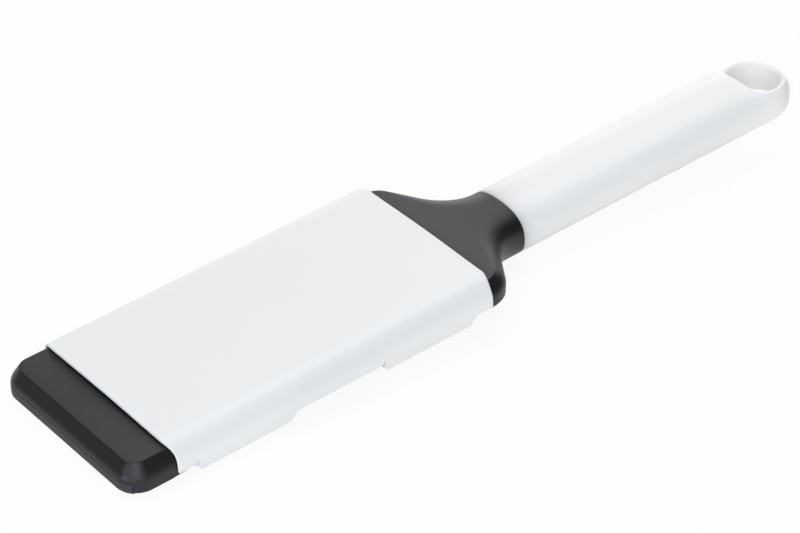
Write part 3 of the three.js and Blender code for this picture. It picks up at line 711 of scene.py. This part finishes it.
def makeCover():
    look = coverLook
    start, end = look["start"], look["start"] + look["length"]
    rings = []
    for run, drawn, opened in coverEnd(look["tipEnd"]):
        rings.append([(start + run + lean, y, z) for lean, y, z in coverSection(drawn, opened)])
    for run, drawn, opened in reversed(coverEnd(look["gripEnd"])):
        rings.append([(end - run - lean, y, z) for lean, y, z in coverSection(drawn, opened)])
    piece = makePiece("slide_cover", *joinRings(rings))
    hooks, slits = [], []
    wallMiddle = (coverInner + coverOuter) / 2
    slitLow, slitHigh = look["skirt"] - look["cutPast"], look["skirt"] + look["slitDepth"]
    for side in (1, -1):
        y = side * wallMiddle
        for startX in look["hookStarts"]:
            hooks.append(coverHook(startX, side))
            slits.append(block("slit", startX - look["slit"], startX + look["slitPast"],
                               y - look["wall"], y + look["wall"], slitLow, slitHigh))
    carve(piece, hooks, "UNION")
    carve(piece, slits, "DIFFERENCE")
    shade(piece, look["smoothUnder"])
    dress(piece, coverAbs, "cover", "blade_cover")


makeCover()

# Clamping ring below the blade
ringLook = {"wall": 2.6, "height": 4.2, "round": 0.4, "smoothUnder": 30.0}


def makeRing():
    soft, out = ringLook["round"], bladeSeat["overlap"]
    inside = out - ringLook["wall"]
    high, low = sheetBottom, sheetBottom - ringLook["height"]
    section = [(out, high), (out, low + soft), (out - soft, low), (inside + soft, low),
               (inside, low + soft), (inside, high)]
    rings = [[(x, y, z) for x, y in windowLoop(margin)] for margin, z in section]
    points = [p for ring in rings for p in ring]
    piece = makePiece("clamp_ring", points, tubeFaces(len(rings), len(rings[0]), wrap=True))
    shade(piece, ringLook["smoothUnder"])
    dress(piece, ringAbs, "grater", "blade_retainer")


makeRing()

# Grating blade: a Geometry Nodes grid lays one pressed tooth tile over the sheet, every second row
# moved by half a pitch
toothLook = {
    "rows": 15, "perRow": 9, "height": 1.2, "halfWidth": 1.9, "throat": 1.4, "lean": 0.45,
    "flank": 0.55, "hollow": 0.3, "crest": 0.8, "smoothUnder": 40.0,
}
rowPitch = (bladeSeat["length"] - 2 * bladeSeat["corner"]) / toothLook["rows"]
toothPitch = (2 * windowHalf - 2 * bladeSeat["corner"]) / toothLook["perRow"]


# one tile about its own middle, in metres: border, ramp and lifted rim on both faces of the sheet
def toothTile():
    look = toothLook
    x, y = rowPitch / 2, toothPitch / 2
    border = [(-x, 0), (-x, y / 2), (-x, y), (0, y), (x, y), (x, y / 2),
              (x, 0), (x, -y / 2), (x, -y), (0, -y), (-x, -y), (-x, -y / 2)]
    count = len(border)
    rim = []
    for k in range(count):
        a = math.radians(360 * k / count)
        reach = look["lean"] if math.cos(a) > 0 else look["throat"]
        lift = look["height"] * max(math.cos(a), 0.0) ** look["crest"]
        rim.append((-reach * math.cos(a), look["halfWidth"] * math.sin(a), lift))
    ramp = []
    for (bx, by), (rx, ry, rz) in zip(border, rim):
        ramp.append((mix(bx, rx, look["flank"]), mix(by, ry, look["flank"]), rz * look["hollow"]))
    loops = [[(px, py, 0.0) for px, py in border], ramp, rim]
    points, faces = [], []
    for drop in (0.0, bladeSeat["sheet"]):
        points += [(px / mmPerMetre, py / mmPerMetre, (pz - drop) / mmPerMetre)
                   for loop in loops for px, py, pz in loop]
    below = len(loops) * count  # where the points of the lower face begin
    for half in (0, 1):
        for ring in range(len(loops) - 1):
            a = half * below + ring * count
            b = a + count
            for k in range(count):
                n = (k + 1) % count
                quad = (a + k, b + k, b + n, a + n)
                faces.append(quad if half == 0 else tuple(reversed(quad)))
    upper = below - count
    lower = upper + below
    for k in range(count):
        n = (k + 1) % count
        faces.append((upper + k, lower + k, lower + n, upper + n))
    mesh = bpy.data.meshes.new("tooth_tile")
    mesh.from_pydata(points, [], faces)
    return addObject("tooth_tile", mesh)


# the plain sheet round the teeth, with clipped corners and the half tiles of every second row
def bladeBorder():
    startX, startY = bladeSeat["start"] + bladeSeat["corner"], -windowHalf + bladeSeat["corner"]
    rows, perRow, out = toothLook["rows"], toothLook["perRow"], bladeSeat["overlap"]
    left, right = bladeSeat["start"] - out, windowEnd + out
    front, back = -windowHalf - out, windowHalf + out
    gridX = [startX + rowPitch / 2 * k for k in range(2 * rows + 1)]
    gridY = [startY + toothPitch / 4 * k for k in range(4 * perRow + 1)]
    x0, x1, y0, y1 = gridX[0], gridX[-1], gridY[0], gridY[-1]
    cells = []
    for a, b in zip(gridX, gridX[1:]):
        cells.append([(a, front), (b, front), (b, y0), (a, y0)])
        cells.append([(a, y1), (b, y1), (b, back), (a, back)])
    for a, b in zip(gridY, gridY[1:]):
        cells.append([(left, a), (x0, a), (x0, b), (left, b)])
        cells.append([(x1, a), (right, a), (right, b), (x1, b)])
    cells += [[(x0, y0), (left, y0), (x0, front)], [(x1, y0), (x1, front), (right, y0)],
              [(x1, y1), (right, y1), (x1, back)], [(x0, y1), (x0, back), (left, y1)]]
    for row in range(1, rows, 2):
        for first in (0, 4 * perRow - 2):
            for i in (2 * row, 2 * row + 1):
                for j in (first, first + 1):
                    cells.append([(gridX[i], gridY[j]), (gridX[i + 1], gridY[j]),
                                  (gridX[i + 1], gridY[j + 1]), (gridX[i], gridY[j + 1])])
    points, faces, edges = [], [], {}
    for cell in cells:
        for z, flip in ((sheetTop, False), (sheetBottom, True)):
            base = len(points)
            points += [(px, py, z) for px, py in cell]
            faces.append(tuple(range(base, base + len(cell)))[::-1 if flip else 1])
        for p, q in zip(cell, cell[1:] + cell[:1]):
            key = tuple(sorted(((round(p[0], 4), round(p[1], 4)), (round(q[0], 4), round(q[1], 4)))))
            edges[key] = edges.get(key, 0) + 1
    # sheared outer edge: border edges that belong to one cell and lie outside the teeth
    slack = 0.01
    for (p, q), uses in edges.items():
        middleX, middleY = (p[0] + q[0]) / 2, (p[1] + q[1]) / 2
        within = x0 - slack < middleX < x1 + slack and y0 - slack < middleY < y1 + slack
        if uses == 1 and not within:
            base = len(points)
            points += [(*p, sheetTop), (*q, sheetTop), (*q, sheetBottom), (*p, sheetBottom)]
            faces.append((base, base + 1, base + 2, base + 3))
    return points, faces


def toothGrid():
    tree = bpy.data.node_groups.new("tooth_grid", "GeometryNodeTree")
    face = tree.interface
    face.new_socket("Geometry", in_out="INPUT", socket_type="NodeSocketGeometry")
    names = [("Rows", "NodeSocketInt"), ("Teeth per Row", "NodeSocketInt"),
             ("Row Pitch", "NodeSocketFloat"), ("Tooth Pitch", "NodeSocketFloat"),
             ("Centre", "NodeSocketVector"), ("Tile", "NodeSocketObject"),
             ("Finish", "NodeSocketMaterial")]
    sockets = {name: face.new_socket(name, in_out="INPUT", socket_type=kind) for name, kind in names}
    face.new_socket("Geometry", in_out="OUTPUT", socket_type="NodeSocketGeometry")
    given = addNode(tree, "NodeGroupInput").outputs
    perRow = given["Teeth per Row"]
    rowsLess = addNode(tree, "ShaderNodeMath", {"operation": "SUBTRACT"}, {0: given["Rows"], 1: 1.0})
    teethLess = addNode(tree, "ShaderNodeMath", {"operation": "SUBTRACT"}, {0: perRow, 1: 1.0})
    sizeX = addNode(tree, "ShaderNodeMath", {"operation": "MULTIPLY"}, {
        0: rowsLess.outputs[0], 1: given["Row Pitch"]})
    sizeY = addNode(tree, "ShaderNodeMath", {"operation": "MULTIPLY"}, {
        0: teethLess.outputs[0], 1: given["Tooth Pitch"]})
    grid = addNode(tree, "GeometryNodeMeshGrid", None, {
        "Size X": sizeX.outputs[0], "Size Y": sizeY.outputs[0],
        "Vertices X": given["Rows"], "Vertices Y": perRow})
    # every second row moves by half a pitch and drops its last tooth
    index = addNode(tree, "GeometryNodeInputIndex")
    rowShare = addNode(tree, "ShaderNodeMath", {"operation": "DIVIDE"}, {0: index.outputs[0], 1: perRow})
    row = addNode(tree, "ShaderNodeMath", {"operation": "FLOOR"}, {0: rowShare.outputs[0]})
    odd = addNode(tree, "ShaderNodeMath", {"operation": "MODULO"}, {0: row.outputs[0], 1: 2.0})
    column = addNode(tree, "ShaderNodeMath", {"operation": "MODULO"}, {0: index.outputs[0], 1: perRow})
    lastColumn = addNode(tree, "ShaderNodeMath", {"operation": "COMPARE"}, {
        0: column.outputs[0], 1: teethLess.outputs[0], 2: 0.1})  # input 2 is the tolerance
    spare = addNode(tree, "ShaderNodeMath", {"operation": "MULTIPLY"}, {
        0: odd.outputs[0], 1: lastColumn.outputs[0]})
    half = addNode(tree, "ShaderNodeMath", {"operation": "MULTIPLY"}, {
        0: given["Tooth Pitch"], 1: 0.5})
    move = addNode(tree, "ShaderNodeMath", {"operation": "MULTIPLY"}, {
        0: odd.outputs[0], 1: half.outputs[0]})
    offset = addNode(tree, "ShaderNodeCombineXYZ", None, {"Y": move.outputs[0]})
    toCentre = addNode(tree, "ShaderNodeVectorMath", {"operation": "ADD"}, {
        0: offset.outputs[0], 1: given["Centre"]})
    moved = addNode(tree, "GeometryNodeSetPosition", None, {
        "Geometry": grid.outputs["Mesh"], "Offset": toCentre.outputs[0]})
    source = addNode(tree, "GeometryNodeObjectInfo", {"transform_space": "ORIGINAL"}, {
        "Object": given["Tile"]})
    kept = addNode(tree, "ShaderNodeMath", {"operation": "SUBTRACT"}, {0: 1.0, 1: spare.outputs[0]})
    teeth = addNode(tree, "GeometryNodeInstanceOnPoints", None, {
        "Points": moved.outputs["Geometry"], "Selection": kept.outputs[0],
        "Instance": source.outputs["Geometry"]})
    both = addNode(tree, "GeometryNodeJoinGeometry")
    tree.links.new(given["Geometry"], both.inputs[0])
    tree.links.new(teeth.outputs["Instances"], both.inputs[0])
    solid = addNode(tree, "GeometryNodeRealizeInstances", None, {"Geometry": both.outputs[0]})
    joined = addNode(tree, "GeometryNodeMergeByDistance", None, {
        "Geometry": solid.outputs[0], "Distance": sameSpot["joined"]})
    finish = addNode(tree, "GeometryNodeSetMaterial", None, {
        "Geometry": joined.outputs[0], "Material": given["Finish"]})
    addNode(tree, "NodeGroupOutput", None, {"Geometry": finish.outputs[0]})
    return tree, sockets


def makeBlade():
    tile = toothTile()
    piece = makePiece("grating_sheet", *bladeBorder())
    tree, sockets = toothGrid()
    middleX = bladeSeat["start"] + bladeSeat["length"] / 2
    values = {"Rows": toothLook["rows"], "Teeth per Row": toothLook["perRow"],
              "Row Pitch": rowPitch / mmPerMetre, "Tooth Pitch": toothPitch / mmPerMetre,
              "Centre": place(middleX, 0, sheetTop), "Tile": tile, "Finish": bladeSteel}
    lay = piece.modifiers.new("teeth", "NODES")
    lay.node_group = tree
    for name, value in values.items():
        lay[sockets[name].identifier] = value
    bake(piece)
    bpy.data.objects.remove(tile)
    bpy.data.node_groups.remove(tree)
    weld(piece, sameSpot["joined"])
    shade(piece, toothLook["smoothUnder"])
    dress(piece, bladeSteel, "grater", "grating_blade")


makeBlade()

# Floor: tilted by the small angle at which the grater lies on its foot strip and the start of its
# grip; before the tip it falls away a little, so the cover clears it when it is slid off
floorLook = {
    "far": 30000.0, "colour": "#fefcf9", "background": 0.92, "gap": 0.05,
    "apron": (-12.0, -1.7), "frontTouch": (1.5, -0.3), "backTouch": (183.0, -10.85),
}


def makeFloor():
    mesh = bpy.data.meshes.new("floor")
    (x0, z0), (x1, z1) = floorLook["frontTouch"], floorLook["backTouch"]
    far, apron = floorLook["far"], floorLook["apron"]
    profile = [(-far, apron[1]), apron, (x0, z0), (far, z0 + (z1 - z0) / (x1 - x0) * (far - x0))]
    points = [place(x, y, z - floorLook["gap"]) for x, z in profile for y in (-far, far)]
    mesh.from_pydata(points, [], [(k, k + 2, k + 3, k + 1) for k in (0, 2, 4)])
    floor = addObject("floor", mesh)
    # white paper: a diffuse sheet that takes the shadow, lifted toward plain white where it is seen
    material, tree = bareMaterial("white_paper_floor")
    paper = addNode(tree, "ShaderNodeBsdfDiffuse", None, {"Color": linearColour(floorLook["colour"])})
    white = addNode(tree, "ShaderNodeEmission", None, {"Color": (1, 1, 1, 1), "Strength": 1.0})
    path = addNode(tree, "ShaderNodeLightPath").outputs
    seen = addNode(tree, "ShaderNodeMath", {"operation": "MAXIMUM"}, {
        0: path["Is Camera Ray"], 1: path["Is Glossy Ray"]})
    through = addNode(tree, "ShaderNodeMath", {"operation": "MAXIMUM"}, {
        0: seen.outputs[0], 1: path["Is Transmission Ray"]})
    share = addNode(tree, "ShaderNodeMath", {"operation": "MULTIPLY"}, {
        0: through.outputs[0], 1: floorLook["background"]})
    surface = addNode(tree, "ShaderNodeMixShader", None, {
        "Fac": share.outputs[0], 1: paper.outputs[0], 2: white.outputs[0]})
    addNode(tree, "ShaderNodeOutputMaterial", None, {"Surface": surface.outputs[0]})
    mesh.materials.append(material)


makeFloor()

# Light: a dark studio with pale walls glowing low behind and in front, a large softbox behind the
# camera, a small one low beyond the tip and two high behind the part
lightLook = {
    "dim": 0.02, "sky": "#fafcff",
    "glows": [
        {"aim": (0.74, 0.67, 0.1), "range": (0.80, 0.97), "strength": 2.35},
        {"aim": (-0.5, -0.8, -0.3), "range": (0.6, 0.97), "strength": 2.65},
    ],
    "boxes": [
        {"name": "front_box", "azimuth": -42.0, "elevation": 36.0, "size": (1.5, 1.1), "watts": 15.2,
         "colour": "#f2f8ff"},
        {"name": "side_box", "azimuth": -84.0, "elevation": 8.0, "size": (0.3, 0.3), "watts": 6.0,
         "colour": "#e9f3ff"},
        {"name": "back_box", "azimuth": 118.0, "elevation": 57.0, "size": (1.2, 1.2), "watts": 10.7,
         "colour": "#ffffff"},
        {"name": "far_box", "azimuth": 193.0, "elevation": 62.0, "size": (1.0, 1.0), "watts": 8.0,
         "colour": "#ffffff"},
    ],
    "target": (0.0, 0.0, 0.015), "away": 1.7,  # metres
}


def makeLight():
    world = bpy.data.worlds.new("studio")
    bpy.context.scene.world = world
    world.use_nodes = True
    tree = world.node_tree
    tree.nodes.clear()
    aim = addNode(tree, "ShaderNodeTexCoord").outputs["Generated"]
    level = lightLook["dim"]
    for glow in lightLook["glows"]:
        toward = addNode(tree, "ShaderNodeVectorMath", {"operation": "DOT_PRODUCT"}, {
            0: aim, 1: Vector(glow["aim"]).normalized()})
        fade = addNode(tree, "ShaderNodeMapRange", {"interpolation_type": "SMOOTHSTEP"}, {
            "Value": toward.outputs["Value"], "From Min": glow["range"][0], "From Max": glow["range"][1],
            "To Min": 0.0, "To Max": glow["strength"]})
        level = addNode(tree, "ShaderNodeMath", {"operation": "ADD"}, {
            0: fade.outputs["Result"], 1: level}).outputs[0]
    sky = addNode(tree, "ShaderNodeBackground", None, {
        "Color": linearColour(lightLook["sky"]), "Strength": level})
    addNode(tree, "ShaderNodeOutputWorld", None, {"Surface": sky.outputs[0]})
    for box in lightLook["boxes"]:
        lamp = bpy.data.lights.new(box["name"], "AREA")
        lamp.shape = "RECTANGLE"
        lamp.size, lamp.size_y = box["size"]
        lamp.energy = box["watts"]
        lamp.color = linearColour(box["colour"])[:3]
        holder = addObject(box["name"], lamp)
        direction = lookFrom(box["azimuth"], box["elevation"])
        holder.location = Vector(lightLook["target"]) + direction * lightLook["away"]
        holder.rotation_euler = direction.to_track_quat("Z", "Y").to_euler()


makeLight()

# Camera: the photograph's viewing angle, with its small roll
cameraLook = {
    "azimuth": -37.812, "elevation": 37.527, "roll": -1.93, "distance": 1.08639,
    "target": (132.82, -8.159, 9.7), "focalPixels": 3203.4, "framePixels": 800.0,
    "sensorMm": 36.0, "clip": (0.01, 100.0),
}


def makeCamera():
    look = cameraLook
    azimuth, roll = math.radians(look["azimuth"]), math.radians(look["roll"])
    back = lookFrom(look["azimuth"], look["elevation"])
    level = Vector((math.cos(azimuth), math.sin(azimuth), 0.0))
    rise = back.cross(level)
    right = level * math.cos(roll) + rise * math.sin(roll)
    up = rise * math.cos(roll) - level * math.sin(roll)
    lens = bpy.data.cameras.new("camera")
    lens.sensor_fit = "HORIZONTAL"
    lens.sensor_width = look["sensorMm"]
    lens.lens = look["focalPixels"] * look["sensorMm"] / look["framePixels"]
    lens.clip_start, lens.clip_end = look["clip"]
    holder = addObject("camera", lens)
    spot = place(*look["target"]) + back * look["distance"]
    holder.matrix_world = Matrix.Translation(spot) @ Matrix((right, up, back)).transposed().to_4x4()
    bpy.context.scene.camera = holder


makeCamera()
bpy.context.scene.view_settings.view_transform = "Standard"
print("floor, light and camera ready")

bpy.context.view_layer.update()
